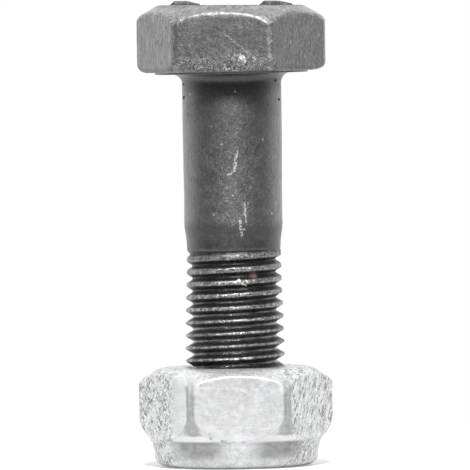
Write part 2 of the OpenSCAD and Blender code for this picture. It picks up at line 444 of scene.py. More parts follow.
def head_sides(skin, last, wall, low, high):
    """The wrench flats, up to their worn top edge. The left one in front is marked as side, for a painted
    reflection that lightens it.
    """
    turn = (np.degrees(skin.theta) - HEAD_TURN) % 360
    corner = np.exp(-((turn + 30) % 60 - 30) ** 2 / 3.0)
    worn_corner = corner * (0.45 + 0.45 * (np.abs(turn - 300) < 8))
    side = ((turn > 180) & (turn < 240)).astype(float)
    for share in np.linspace(0, 1, 17)[1:-1]:
        last = skin.step(last, wall, low + 0.2 + (high - 0.46 - low) * share, edge=worn_corner, side=side)
    return skin.outline(last, [
        (wall, high - 0.26, {"edge": 0.2 + 0.4 * corner, "side": side}),
        (wall - 0.01, high - 0.15, {"edge": 0.9, "side": side}),
        (wall - 0.04, high - 0.05, {"edge": 1.0}), (wall - 0.09, high + 0.03, {"edge": 1.0})])


def head_rows(skin, last):
    """The head, from its washer face to its flat top. Its corners are sharpest in front."""
    corner_r = HEAD_CORNER_R + 0.34 * np.abs(np.sin(skin.theta)) ** 3
    wall = hexagon_radius(skin.theta, HEAD_AF, HEAD_TURN, corner_r, 0.06)
    last, low = head_underside(skin, last, wall)
    last = head_sides(skin, last, wall, low, head_top(wall))
    for share in (0.06, 0.14, 0.3, 0.48, 0.66, 0.82, 0.93, 0.985):
        rho = (wall - 0.09) * (1 - share) + HEAD_FLAT_R * share
        edge = max(0.0, 0.7 - share * 3) + max(0.0, share - 0.9) * 5
        last = skin.step(last, rho, head_top(rho) - 0.012, bevel=1.0, edge=edge)
    for rho, edge in ((7.08, 0.4), (6.9, 0.1), (6.2, 0), (5.2, 0), (4.0, 0), (2.6, 0), (1.2, 0)):
        last = skin.step(last, rho, HEAD_TOP, edge=edge)
    skin.face(last, np.roll(last, -1), skin.add([[0.0, 0.0, HEAD_TOP]]))


# The raised marks on the head's top

def digit_eight(x, y, centre_y):
    """Distance from the stroke of an 8 whose foot points to the head's middle, negative inside it."""
    upper = np.abs(np.hypot((y - centre_y) * 1.1, x - 5.3) - 0.62)
    lower = np.abs(np.hypot((y - centre_y) * 0.95, x - 3.78) - 0.74)
    return np.minimum(upper, lower) - 0.2


def grade_number(x, y):
    """The strength grade, 8.8, set round the head as it is on real bolts."""
    dot = np.hypot(x - 3.1, y) - 0.26
    return np.minimum(np.minimum(digit_eight(x, y, -1.35), digit_eight(x, y, 1.35)), dot)


def plain_bar(x, y):
    """A plain rounded bar."""
    return np.hypot(np.maximum(np.abs(x + 4.5) - 1.0, 0), np.maximum(np.abs(y) - 1.2, 0)) - 0.5


def mark_wear(u):
    """Share of a mark's height along its length, as its ends are worn down, the far one most."""
    return (0.15 + 0.85 * smooth(u / 0.18)) * (1 - 0.72 * smooth((u - 0.48) / 0.6))


def raised_mark(skin, distance, x_range, y_range):
    """A closed shell standing on the head's flat top wherever the distance is near or below zero."""
    x, y = np.meshgrid(np.arange(*x_range, MARK_GRID), np.arange(*y_range, MARK_GRID), indexing="ij")
    d = distance(x, y)
    share = smooth(-d / MARK_SLOPE + 0.5)
    length = x_range[1] - x_range[0] - 2 * MARK_MARGIN
    height = MARK_H * mark_wear((x - x_range[0] - MARK_MARGIN) / length)

    def sheet(z, **marks):
        return skin.add(np.stack([x, y, z], 2), **marks)

    # The walls are marked deep, for painted shade that is darkest at their foot
    top = sheet(HEAD_TOP - 0.05 + (height + 0.05) * share, deep=0.75 * (1 - share))
    bottom = sheet(np.full_like(x, HEAD_TOP - MARK_SINK))
    inside = d < MARK_SLOPE * 0.6
    cell = inside[:-1, :-1] | inside[1:, :-1] | inside[1:, 1:] | inside[:-1, 1:]
    i, j = np.nonzero(cell)
    skin.face(top[i, j], top[i + 1, j], top[i + 1, j + 1], top[i, j + 1])
    skin.face(bottom[i, j], bottom[i, j + 1], bottom[i + 1, j + 1], bottom[i + 1, j])
    wide = np.pad(cell, 1)
    for di, dj, a, b in ((-1, 0, (0, 1), (0, 0)), (1, 0, (1, 0), (1, 1)),
                         (0, -1, (0, 0), (1, 0)), (0, 1, (1, 1), (0, 1))):
        beside = wide[1 + di:wide.shape[0] - 1 + di, 1 + dj:wide.shape[1] - 1 + dj]
        i, j = np.nonzero(cell & ~beside)
        p, q = (i + a[0], j + a[1]), (i + b[0], j + b[1])
        skin.face(bottom[p], bottom[q], top[q], top[p])


def roughen_bolt(points, normals, marks):
    """Dents over the bolt, deeper along its worn edges, and a head that stands very slightly askew."""
    head = (points[:, 2] > BEARING_Z + 0.3).astype(float)
    thread, edge = marks["thread"], marks["edge"]
    move = 0.010 * noise(points, 0.9, 1) * head + 0.006 * noise(points, 2.2, 2) * (1 - thread)
    move -= head * edge * (0.04 * dents(points, 0.55, 3) + 0.035 * dents(points, 0.25, 4))
    move += thread * (0.026 * noise(points, 0.28, 5) * (0.5 + edge) + 0.020 * noise(points, 0.7, 6))
    move -= thread * edge * (0.12 * dents(points, 0.8, 7, 0.3) + 0.07 * dents(points, 0.35, 8))
    move = np.where(thread > 0.1, np.minimum(move, MOST_THREAD_SWELL), move)
    points = points + normals * move[:, None]
    points[:, 2] += thread * edge * (0.02 * noise(points, 0.6, 9) + 0.02 * noise(points, 0.28, 10))
    share = np.clip((points[:, 2] - BEARING_Z) / (HEAD_TOP - BEARING_Z), 0, 1)
    near = smooth((points[:, 2] - 37.8) / 1.0)
    points[:, 2] += near * ((0.009 - 0.019 * share) * points[:, 0] - 0.025 * (1 - share))
    return points


def make_bolt():
    """The bolt: thread, neck, shank, fillet, head and the marks on it."""
    skin = Skin(column_angles(BOLT_START_DEG))
    at, top, top_z = bolt_thread(skin)
    heights = np.concatenate([np.arange(top_z + 0.15, 26.5, 0.3), np.linspace(27.0, 37.6, 15)])
    last = skin.ring(shank_radius(heights[0]), heights[0])
    skin.close_above(at, top, last)
    last = skin.outline(last, [(shank_radius(z), z) for z in heights[1:]])
    # The fillet under the head is marked deep, for painted shade
    last = skin.outline(last, [
        (SHANK_R + FILLET_R * (1 - math.cos(a)), BEARING_Z - FILLET_R * (1 - math.sin(a)),
         {"deep": 0.55 * smooth(2 * a)}) for a in np.radians(np.linspace(0, 90, 9))])
    head_rows(skin, last)
    raised_mark(skin, grade_number, (2.4, 6.6), (-2.7, 2.7))
    raised_mark(skin, plain_bar, (-6.4, -2.6), (-2.1, 2.1))
    return skin.build("worn_bolt", roughen_bolt)


# The lock nut

def nut_thread_shape(d):
    """Radius of the nut's thread at distance d from the middle of its groove."""
    d = np.minimum(d, PITCH - d)
    half = HALF_CREST + FLANK_PLAY / math.cos(math.radians(30)) - CREST_PLAY * FLANK
    flank = NUT_ROOT_R + (half - d) / FLANK
    return soft_max(soft_min(NUT_ROOT_R, flank, 0.06), NUT_CREST_R, 0.06)


def nut_thread(skin):
    """The nut's thread as one spiral, from the ceiling of the ring's seat up onto the bearing face."""
    base, j = helix(skin.theta, NUT_START_DEG, SEAT_HIGH, NUT_H + PITCH)
    d = np.broadcast_to(np.array(NUT_ROWS)[j][:, None], base.shape)
    raw = base + d
    cone = NUT_CREST_R + (raw - (NUT_H - COUNTERSINK_H))
    r = soft_max(nut_thread_shape(d), np.minimum(cone, COUNTERSINK_R), 0.05)
    # Rows from beyond the faces run out over them
    r = np.where(raw > NUT_H, COUNTERSINK_R + (raw - NUT_H) * 0.5, r)
    below = np.maximum(SEAT_HIGH - raw, 0)
    at_seat = nut_thread_shape(np.mod(SEAT_HIGH - PHASE - PITCH * np.degrees(skin.theta) / 360, PITCH))
    r = np.where(raw < SEAT_HIGH, np.maximum(at_seat, SEAT_EDGE_R) + below * 0.7, r)
    z = np.clip(raw, SEAT_HIGH, NUT_H)
    inside = ((z > SEAT_HIGH) & (z < NUT_H)).astype(float)
    return skin.spiral(skin.around(r, z), flip=True, thread=inside)


def nut_upper(r):
    """Height of the rounded chamfer round the bearing face, at a radius."""
    return np.interp(r, *zip(*CHAMFER_PROFILE))


def nut_lower(r):
    """Height at which the corners, drawn in towards the collar, have a radius."""
    t = np.linspace(0, 1, 40)[::-1]
    return np.interp(r, [COLLAR_R + 0.02, *(9.70 - 0.67 * t ** 2)], [COLLAR_H, *(3.4 + 2.6 * (1 - t))])


def collar_rows():
    """The collar from its rolled lip out and up to the underside of the hexagon."""
    lip = [(LIP_R, 0.32), (LIP_R + 0.04, 0.12), (LIP_R + 0.16, 0.02), (LIP_R + 0.34, 0.0)]
    roll = [(6.475 + 1.57 * math.cos(a), 1.0 + math.sin(a)) for a in np.radians(np.linspace(-87, 0, 15))]
    # The collar's top row is marked deep, for painted shade in the crease under the hexagon
    return lip + roll + [
        (8.048, 1.3), (8.06, 1.55), (8.12, 1.7), (8.18, 1.84), (8.215, 1.98), (COLLAR_R, 2.1),
        (COLLAR_R, COLLAR_H - 0.1), (COLLAR_R + 0.015, COLLAR_H - 0.03, {"deep": 0.3})]


def nut_outside(skin, last):
    """The nut from the collar's top over its foot, sides and chamfer to the bearing face. Its corners are
    sharpest in front."""
    corner = skin.columns["corner"]
    corner_r = NUT_CORNER_R + 0.15 * np.sin(skin.theta) ** 2
    wall = hexagon_radius(skin.theta, NUT_AF, NUT_TURN, corner_r, 0.07)
    low, high = nut_lower(wall), nut_upper(wall)
    # The foot's rows carry side, which places its painted dark reflection
    for share in np.linspace(0, 1, 12):
        r = COLLAR_R + 0.06 + (wall - 0.05 - COLLAR_R - 0.06) * share
        last = skin.step(last, r, nut_lower(r) + 0.01, side=share)
    # Painted shade: a dark line along the foot of the sides, through the deep mark
    line = {"deep": 0.3 * smooth((0.92 - corner) / 0.15), "side": 0.6}
    last = skin.outline(last, [
        (wall - 0.012, low + 0.03, line), (wall, low + 0.09, line), (wall, low + 0.18)])
    for share in np.linspace(0, 1, 15)[1:-1]:
        last = skin.step(last, wall, low + 0.18 + (high - 0.36 - low) * share)
    # Painted highlight: the upper edge is marked most in front between the corners, where it is painted
    # white, with a little wear and dents all round
    bright = 0.2 + 0.8 * smooth((-np.sin(skin.theta) - 0.8) / 0.15) * smooth((0.97 - corner) / 0.15)
    last = skin.outline(last, [
        (wall, high - 0.13, {"edge": 0.1 * bright}), (wall - 0.008, high - 0.06, {"edge": 0.5 * bright}),
        (wall - 0.035, high, {"edge": bright}), (wall - 0.08, high + 0.03, {"edge": bright})])
    for share in np.linspace(0, 1, 11)[1:]:
        r = wall - 0.08 + (FACE_R - wall + 0.08) * share
        last = skin.step(last, r, nut_upper(r), bevel=1.0, edge=0.3 * (share == 1))
    return skin.outline(last, [(FACE_R - 0.12, NUT_H), (FACE_R - 0.4, NUT_H)])


def roughen_nut(points, normals, marks):
    """Slight hammering of the nut's outside, with dents along its edges."""
    outside = (np.hypot(points[:, 0], points[:, 1]) > 6.0).astype(float)
    move = 0.006 * noise(points, 1.3, 11) + 0.003 * noise(points, 0.5, 12)
    move -= marks["edge"] * (0.012 * dents(points, 0.5, 13) + 0.01 * dents(points, 1.1, 14))
    return points + normals * (move * outside)[:, None]


def make_nut():
    """The lock nut: collar, hexagon, thread and the ring's seat, back to the lip."""
    skin = Skin(column_angles(NUT_START_DEG))
    skin.columns["corner"] = np.abs((np.degrees(skin.theta) - NUT_TURN) % 60 - 30) / 30
    rows = collar_rows()
    first = skin.ring(*rows[0])
    last = nut_outside(skin, skin.outline(first, rows[1:]))
    at, top = nut_thread(skin)
    skin.close_above(at, top, last, flip=True)
    ceiling = skin.ring(SEAT_R - 0.25, SEAT_HIGH)
    skin.close_below(at, ceiling, flip=True)
    last = skin.outline(ceiling, [
        (SEAT_R - 0.05, SEAT_HIGH), (SEAT_R, SEAT_HIGH - 0.05), (SEAT_R, 1.9), (SEAT_R, LIP_H + 0.05),
        (SEAT_R - 0.05, LIP_H), (LIP_R + 0.2, LIP_H), (LIP_R + 0.05, LIP_H - 0.02), (LIP_R, LIP_H - 0.12)])
    skin.join(last, first)
    return skin.build("zinc_lock_nut", roughen_nut)


def make_ring():
    """The nylon ring, whose bore the bolt has not reached."""
    skin = Skin(np.radians(np.arange(0, 360, 2.5)))
    low, middle, high, inner, outer, bevel = 0.78, 1.9, 3.08, 4.55, 6.595, 0.3
    half = [(inner, bevel), (inner + 0.06, bevel * 0.55), (inner + bevel * 0.7, 0.05), (inner + bevel, 0),
            (outer - 0.12, 0), (outer - 0.03, 0.03), (outer, 0.12)]
    rows = [(r, low + h) for r, h in half] + [(outer, middle)]
    rows += [(r, high - h) for r, h in half[::-1]] + [(inner, middle)]
    first = skin.ring(*rows[0])
    skin.join(skin.outline(first, rows[1:]), first)
    return skin.build("nylon_ring")


# Materials

def grey(value):
    """An opaque grey of a brightness."""
    return (value, value, value, 1.0)


class Nodes:
    """Short calls that build a tree of shader nodes."""

    def __init__(self, tree):
        self.tree = tree

    def set(self, socket, value):
        """Links a socket to another node's socket, or gives it a value."""
        if isinstance(value, bpy.types.NodeSocket):
            self.tree.links.new(value, socket)
        else:
            socket.default_value = value

    def new(self, kind, *values, **named):
        """A node of a kind, with its first inputs and named ones set."""
        node = self.tree.nodes.new("ShaderNode" + kind)
        for key, value in [*enumerate(values), *named.items()]:
            self.set(node.inputs[key], value)
        return node

    def math(self, operation, *values, clamp=False):
        """One sum on one or two values."""
        node = self.new("Math", *values)
        node.operation = operation
        node.use_clamp = clamp
        return node.outputs[0]

    def chain(self, operation, *values):
        """One sum on the first two values, then on the result and the next one, and so on."""
        total = values[0]
        for value in values[1:]:
            total = self.math(operation, total, value)
        return total

    # The product, the sum, the first less the others, and the highest
    times = partialmethod(chain, "MULTIPLY")
    plus = partialmethod(chain, "ADD")
    minus = partialmethod(chain, "SUBTRACT")
    highest = partialmethod(chain, "MAXIMUM")


class Paint(Nodes):
    """A material's nodes, with places on the piece in millimetres. tint gives its greys their hue."""

    def __init__(self, name, metallic, ior=1.5, tint=(1.0, 1.0, 1.0)):
        self.material = bpy.data.materials.new(name)
        self.material.use_nodes = True
        super().__init__(self.material.node_tree)
        self.shader = self.tree.nodes["Principled BSDF"]
        self.use("Metallic", metallic)
        self.use("IOR", ior)
        self.tint = tint
        self.mm = self.vector("SCALE", self.new("TexCoord").outputs["Object"], scale=1 / MM)
        self.x, self.y, self.z = self.new("SeparateXYZ", self.mm).outputs

    def use(self, name, value):
        """Gives the shader a value or a socket."""
        self.set(self.shader.inputs[name], value)

    def shade(self, value):
        """A grey with the piece's tint."""
        return tuple(value * share for share in self.tint) + (1.0,)

    def lay(self, colour, *share):
        """Lays a shade or a colour over what is painted so far, as much as the product of shares."""
        if not isinstance(colour, tuple):
            colour = self.shade(colour)
        self.colour = self.mix(self.times(*share), self.colour, colour)

    def vector(self, operation, *values, scale=None):
        """One operation on one or two vectors."""
        node = self.new("VectorMath", *values)
        node.operation = operation
        if scale is not None:
            self.set(node.inputs["Scale"], scale)
        return node.outputs["Value" if operation in ("DISTANCE", "DOT_PRODUCT") else "Vector"]

    def azimuth(self):
        """Angle round the axis from the front, in degrees, positive to the right."""
        return self.times(self.math("ARCTAN2", self.x, self.times(self.y, -1.0)), math.degrees(1))

    def away(self, value, centre=0.0):
        """How far a value is from a centre, either way."""
        return self.math("ABSOLUTE", self.minus(value, centre))

    def noise(self, size, detail, roughness, shift=0, stretch=(1, 1, 1), place=None, output="Fac"):
        """Noise with features of a size in millimetres, moved by a shift and stretched if asked."""
        place = self.vector("MULTIPLY", self.mm if place is None else place, tuple(1 / s for s in stretch))
        place = self.vector("ADD", place, (shift, shift * 0.7, -shift))
        return self.new("TexNoise", place, Scale=1 / size, Detail=detail, Roughness=roughness).outputs[output]

    def specks(self, size, share, shift):
        """Round specks of a size in millimetres, in a share of the cells that fill the surface."""
        place = self.vector("ADD", self.mm, (shift, -shift, shift * 0.6))
        node = self.new("TexVoronoi", place, Scale=1 / size)
        chosen = self.math("LESS_THAN", self.new("SeparateXYZ", node.outputs["Color"]).outputs[0], share)
        return self.times(chosen, self.remap(node.outputs["Distance"], 0.55, 0.3))

    def remap(self, value, low, high, to_low=0.0, to_high=1.0):
        """Carries low to to_low and high to to_high, smoothly between them and level beyond."""
        node = self.new("MapRange", value, low, high, to_low, to_high)
        node.interpolation_type = "SMOOTHSTEP"
        return node.outputs[0]

    def grain(self, low, high, *args, **kwargs):
        """Where a noise is above two limits, from none at the first to all at the second."""
        return self.remap(self.noise(*args, **kwargs), low, high)

    def band(self, value, low, high, soft):
        """1 between two limits and 0 outside them."""
        above = self.remap(value, low - soft, low + soft)
        return self.times(above, self.remap(value, high + soft, high - soft))

    def spot(self, x, z, outer, inner, squash=1.0):
        """A soft spot on the front, squashed in height."""
        place = self.vector("MULTIPLY", self.mm, (1, 0, squash))
        return self.remap(self.vector("DISTANCE", place, (x, 0, z * squash)), outer, inner)

    def mark(self, name):
        """A mark that the mesh carries on its points."""
        node = self.new("Attribute")
        node.attribute_name = name
        return node.outputs["Fac"]

    def mix(self, factor, a, b):
        """Mixes two colours."""
        node = self.new("Mix")
        node.data_type = "RGBA"
        for name, value in (("Factor", factor), ("A", a), ("B", b)):
            self.set(node.inputs[name], value)
        return node.outputs["Result"]

    def scratches(self, slope_deg, spacing, length, shift, width, level=False):
        """Thin wavering scratches at a slope, as a mask, laid round the axis or on a level surface."""
        u, v = (self.x, self.y) if level else (self.times(self.azimuth(), math.radians(1) * WRAP_R), self.z)
        c, s = math.cos(math.radians(slope_deg)), math.sin(math.radians(slope_deg))
        along = self.plus(self.times(u, c), self.times(v, s))
        across = self.minus(self.times(v, c), self.times(u, s))
        place = self.new("CombineXYZ", across, along).outputs[0]
        fac = self.noise(spacing, 2.0, 0.5, shift, (1, length / spacing, 1), place)
        return self.remap(self.away(fac, 0.5), width, width * 0.4)

    def strokes(self, lines, width, wander):
        """A mask of strokes on the front. Each line goes from one (x, z) to another in millimetres."""
        drift = self.vector("SUBTRACT", self.noise(0.45, 2.0, 0.6, shift=51, output="Color"), (0.5,) * 3)
        place = self.vector("ADD", self.mm, self.vector("SCALE", drift, scale=wander))
        place = self.vector("MULTIPLY", place, (1, 0, 1))
        distances = []
        for x0, z0, x1, z1 in lines:
            way = Vector((x1 - x0, 0, z1 - z0))
            start = self.vector("SUBTRACT", place, (x0, 0, z0))
            share = self.vector("DOT_PRODUCT", start, tuple(way / max(way.length_squared, 1e-9)))
            share = self.math("ADD", share, 0.0, clamp=True)
            distances.append(self.vector("DISTANCE", start, self.vector("SCALE", tuple(way), scale=share)))
        nearest = self.chain("MINIMUM", *distances)
        return self.times(self.remap(nearest, width, width * 0.3), self.remap(self.y, -0.6, -1.3))

    def bump(self, *layers):
        """Stacks heights, each with its depth in millimetres, into one normal."""
        below = {}
        for height, depth in layers:
            node = self.new("Bump", Strength=1.0, Distance=depth * MM, Height=height, **below)
            below = {"Normal": node.outputs["Normal"]}
        self.use("Normal", node.outputs["Normal"])


# Scratches and pits on the bolt's front, from (x, z) to (x, z) in millimetres
HEAD_SCRATCH = ((-0.56, 42.65, 1.61, 40.81), (1.61, 40.81, 1.75, 40.3))
SHANK_SCRATCHES = (
    (0.5, 31.27, 0.29, 30), (0.29, 30, 0.18, 29.22), (0.18, 29.22, -0.41, 28.83), (0.29, 37.07, 0.29, 37),
    (1.12, 26.06, 1.19, 24.29), (0.61, 24.3, 0.78, 22.82), (0.99, 23.5, 0.99, 23.45))
SHANK_BITS = (
    (-2.41, 33.71, -2.3, 33.68), (-2.02, 33.66, -1.95, 33.6), (-1.52, 33.75, -1.5, 33.6),
    (-1.06, 31.98, -1, 31.8), (2.98, 32.25, 3, 32.1), (-4.04, 36.81, -4.04, 36.7), (1.73, 27.62, 1.73, 27.5),
    (-0.63, 27.65, -0.6, 27.5), (-0.05, 26.86, 0.1, 26.8), (-1.94, 25.01, -1.9, 24.9), (3.77, 25, 3.77, 24.9),
    (1.51, 26.05, 1.51, 26))
SHANK_PITS = (
    (-4.78, 37.74, -4.78, 37.7), (-4.76, 36.55, -4.76, 36.35),
    (4.3, 38.05, 4.3, 38.0), (4.66, 36.2, 4.66, 36.15))
THREAD_NICK = ((0.41, 18.56, 0.75, 18.12), (0.75, 18.12, 1.14, 17.94))
NECK_GROOVE = ((-3.6, 21.2, 3.1, 21.35),)
RUST_SPOT = ((1.85, 18.9, 1.97, 18.8),)

# The same on the nut's front
NUT_SCRATCHES = (
    (-3.53, 8.1, 0.38, 7.95), (0.38, 7.95, 0.96, 7.64), (-0.05, 5.4, 0.1, 5.35), (0.43, 4.12, 0.5, 4.1),
    (2.12, 6.35, 2.3, 6.3), (1.31, 4.11, 1.4, 4.1), (2.09, 4.0, 3.75, 4.02))
NUT_SCUFFS = (
    (-1.5, 2.85, -0.9, 2.7), (-0.8, 2.68, -0.1, 2.62), (-2.6, 3.2, -2.3, 3.1), (0.6, 2.72, 0.8, 2.7))


def bolt_dark(p):
    """The bolt's dark skin and the streaks along it, with a painted reflection lightening the head's left
    front flat and a painted sheen in the streaks at the shank's sides. Returns the grain that it shares with
    the gloss.
    """
    grain = p.noise(0.24, 3, 0.65)
    p.colour = p.mix(p.grain(0.3, 0.7, 1.5, 3, 0.55, 7), grey(BOLT_DARK), grey(BOLT_DARK * 1.3))
    p.lay(BOLT_DARK * 2, p.remap(grain, 0.42, 0.72, 0, 0.7))
    streak = p.grain(0.43, 0.62, 0.17, 3, 0.7, 15, (1, 1, 8))
    on_head = p.remap(p.z, *ON_HEAD)
    side = p.mark("side")
    # Painted reflection: the head's left front flat lightened, as if it mirrored the white room
    p.lay(0.25, side, 0.45)
    p.lay(0.47, streak, side, 0.8)
    p.lay(0.28, streak, on_head, 0.3)
    brushed = p.grain(0.48, 0.62, 0.15, 3, 0.75, 91, (1, 1, 3))
    p.lay(0.3, brushed, p.remap(p.z, 21.6, 22.4), p.remap(p.z, *ON_SHANK), 0.22)
    fleck = p.grain(0.5, 0.62, 0.18, 3, 0.7, 83, (1, 1, 2.2))
    off_front = p.times(p.remap(p.y, -8.2, -7.4, 0.25), p.remap(p.y, 2, -3, 0.4))
    p.lay(0.36, fleck, on_head, off_front, 0.7)
    groove = p.grain(0.6, 0.68, 0.17, 2, 0.6, 19, (1, 1, 9))
    p.lay(0.05, groove, on_head, p.remap(p.y, -8.4, -7.6), 0.5)
    at_edge = p.times(p.band(p.away(p.azimuth()), 55, 95, 12), p.remap(p.z, 38.5, 38))
    # Lighter streaks at the shank's sides: real streaks, with a painted sheen where the sides mirror the
    # white room
    p.lay(0.4, streak, at_edge, 0.5)
    bolt_dust_and_shadow(p, on_head, at_edge)
    return grain


def bolt_dust_and_shadow(p, on_head, at_edge):
    """Rubbed clusters and specks down the shank, partly a painted highlight down its front, pits, a darker
    neck and shank, and a painted shadow under the head.
    """
    on_shank = p.remap(p.z, *ON_SHANK)
    low = p.times(p.remap(p.z, 36, 28), on_shank)
    cluster = p.grain(0.42, 0.6, 0.8, 3, 0.65, 25)
    rubbed = p.highest(p.scratches(44, 0.35, 1.1, 81, 0.02), p.scratches(-52, 0.35, 1, 87, 0.02))
    rubbed = p.highest(p.times(rubbed, 0.6), p.grain(0.55, 0.62, 0.17, 3, 0.75, 43))
    front = p.remap(p.away(p.azimuth(), 4), 60, 15, 0.35)
    # Rubbed marks, strongest down the front: real rubbing, and a painted highlight down the shank's front
    p.lay(0.55, rubbed, cluster, front, p.plus(p.times(low, 0.5), 0.12), on_shank)
    p.lay(0.5, p.specks(0.18, 0.02, 21), on_shank, 0.35)
    pits = p.times(p.specks(0.2, 0.05, 63), p.highest(on_head, at_edge))
    darker_shank_and_neck = p.plus(p.times(on_shank, 0.1), p.times(p.band(p.z, 20.8, 23.9, 0.6), 0.6))
    # Painted shadow of the head on the shank just under it, laid with the darker neck and shank
    p.lay(0.04, p.highest(darker_shank_and_neck, p.times(p.band(p.z, 36.9, 38.9, 0.8), 0.7)))
    p.lay(0.03, pits, 0.7)


def head_chips(p):
    """The chipped area at the foot of the head's front face."""
    on_front = p.remap(p.y, *ON_FRONT)
    foot = p.times(p.remap(p.z, 40.7, 39.3), 0.6)
    area = p.times(p.highest(p.spot(1, 40, 2.5, 0.3, 1.7), foot), on_front, p.remap(p.z, 38.95, 39.1))
    fine = p.times(p.grain(0.5, 0.6, 0.22, 3, 0.7, 27), 0.5)
    grains = p.highest(fine, p.grain(0.53, 0.6, 0.55, 4, 0.75, 28))
    blob = p.times(p.spot(1.05, 40.2, 0.5, 0.2), on_front, p.highest(grains, 0.55))
    return p.highest(p.times(area, grains, 0.8), blob)


def bolt_wear(p, chips):
    """Where the bolt is worn to bright steel, on edges, the chamfer, chipped areas and scratches."""
    head = p.times(p.strokes(HEAD_SCRATCH, 0.1, 0.25), 0.6)
    bits = p.times(p.strokes(SHANK_BITS, 0.13, 0.4), 0.8)
    scratches = p.highest(head, bits, p.strokes(SHANK_SCRATCHES, 0.16, 0.45))
    scratches = p.times(scratches, p.grain(0.42, 0.56, 0.14, 2, 0.6, 29))
    patches = p.remap(p.noise(0.8, 3, 0.6, 34), 0.38, 0.56, 0.25)
    uneven = p.times(p.grain(0.44, 0.56, 0.26, 3, 0.8, 33), patches)
    spots = p.remap(p.noise(0.35, 3, 0.7, 99), 0.36, 0.62, 0.04, 0.42)
    rim = p.times(p.band(p.z, 42.5, 45, 0.3), p.remap(p.y, -7.5, -8.2), spots)
    less_below = p.highest(p.plus(p.times(p.remap(p.z, 21, 15), 0.4), 0.6), p.remap(p.z, 38, 38.5))
    edge = p.times(p.mark("edge"), p.highest(uneven, rim), less_below, 0.8)
    bevel = p.times(p.mark("bevel"), p.grain(0.25, 0.75, 0.45, 3, 0.6, 37), BEVEL_WEAR)
    return p.highest(edge, bevel, chips, scratches)


def bolt_flanks(p, thread, deep):
    """Dark, speckled flanks of the thread, and a painted highlight that lightens its roots. Returns the
    roots' glint, once it is painted.
    """
    uneven = p.plus(deep, p.times(p.minus(p.noise(0.26, 3, 0.7, 71), 0.5), 0.9))
    flank = p.times(p.remap(uneven, 0.04, 0.22), p.remap(deep, 1, 0.85), thread)
    p.lay(0.02, flank, 0.95)
    p.lay(0.2, p.grain(0.52, 0.62, 0.2, 3, 0.75, 75), flank, 0.5)
    root_glint = p.times(thread, p.remap(deep, 0.75, 0.95), p.grain(0.35, 0.55, 0.7, 2, 0.6, 77, (2, 2, 1)))
    # Painted highlight: the roots lightened in patches, for the thin bright line the lamp draws in them
    p.lay(0.35, root_glint, 0.6)
    return root_glint


def bolt_material():
    """Dark phosphated steel, granular and scratched, worn bright on edges and crests."""
    p = Paint("dark_worn_steel", BOLT_METALLIC)
    grain = bolt_dark(p)
    chips = head_chips(p)
    worn = bolt_wear(p, chips)
    thread, deep = p.mark("thread"), p.mark("deep")
    pits = p.strokes(SHANK_PITS, 0.15, 0.3)
    root_glint = bolt_flanks(p, thread, deep)
    crumbs = p.grain(0.54, 0.61, 0.32, 3, 0.7, 95)
    p.lay(0.7, worn)
    p.lay(0.02, crumbs, p.band(p.z, 39.1, 40, 0.4), p.remap(p.y, *ON_FRONT), 0.75)
    p.lay(0.9, p.remap(chips, 0.6, 0.9))
    p.lay(0.02, p.strokes(NECK_GROOVE, 0.09, 0.12), 0.9)
    # Painted shade where deep is marked off the thread: the fillet and washer crease under the head and the
    # raised marks' walls
    p.lay(0.03, deep, p.remap(thread, 0.5, 0), 0.9)
    p.lay(0.9, p.strokes(THREAD_NICK, 0.13, 0.1))
    p.lay(RUST, p.strokes(RUST_SPOT, 0.42, 0.3), 0.7)
    p.lay(0.01, pits, 0.95)
    p.use("Base Color", p.colour)
    top = p.highest(p.remap(p.z, 45.2, 45.4), p.times(p.mark("bevel"), p.remap(p.y, 0, 3)))
    coat = p.minus(BOLT_COAT, p.plus(p.times(thread, BOLT_COAT * 0.6), p.times(p.mark("side"), 0.4)))
    p.use("Coat Weight", p.times(coat, p.minus(1, p.highest(pits, p.times(top, 0.8)))))
    p.use("Coat Roughness", 0.35)
    crest = p.times(p.mark("edge"), p.grain(0.52, 0.62, 0.4, 2, 0.6, 73))
    rough = p.plus(p.times(grain, 0.25), 0.34, p.times(p.mark("edge"), p.remap(p.z, 38, 39), 0.2))
    rough = p.minus(rough, p.times(thread, p.highest(crest, root_glint), 0.27))
    p.use("Roughness", p.plus(rough, p.highest(p.times(pits, 0.5), p.times(top, 0.25))))
    p.bump((p.noise(0.16, 3, 0.6, 3), 0.028), (p.noise(0.6, 2, 0.5, 5), 0.045),
           (p.times(thread, p.noise(0.15, 3, 0.7, 11)), 0.05),
           (p.times(chips, p.noise(0.3, 3, 0.7, 13)), 0.2))
    return p.material


def nut_hatch(p):
    """Dark and light cross scratches, fewest on the nut's front, and where its two side faces are."""
    turn = p.azimuth()
    up_left = p.scratches(56, 0.42, 1.5, 9, 0.05)
    down_left = p.scratches(-48, 0.42, 1.3, 15, 0.05)
    up_right = p.scratches(64, 0.36, 2, 21, 0.065)
    light = p.scratches(38, 0.42, 1.4, 27, 0.04)
    flat = p.highest(p.scratches(35, 0.42, 1.5, 31, 0.05, level=True),
                     p.scratches(-50, 0.42, 1.3, 37, 0.05, level=True))
    at_left = p.remap(turn, -40, -52)
    at_right = p.remap(turn, 33, 38)
    area = p.highest(at_left, at_right)
    patch = p.remap(p.noise(0.9, 3, 0.65, 41), 0.36, 0.58, 0.3, 1)
    left = p.times(at_left, p.highest(up_left, down_left))
    right = p.times(at_right, p.highest(up_right, p.times(down_left, 0.4)))
    low = p.times(p.remap(p.z, 2.3, 1.9), p.highest(up_left, down_left), p.plus(p.times(area, 0.35), 0.25))
    pepper = p.times(p.grain(0.55, 0.62, 0.2, 3, 0.75, 97), area, 0.75)
    bevel = p.highest(p.mark("bevel"), p.remap(p.z, 9.6, 9.7))
    round_it = p.times(p.highest(low, pepper, left, right), p.minus(1, bevel))
    over = p.times(flat, bevel, p.plus(p.times(area, 0.65), 0.35))
    return p.times(p.highest(round_it, over), patch), p.times(light, area, patch), area


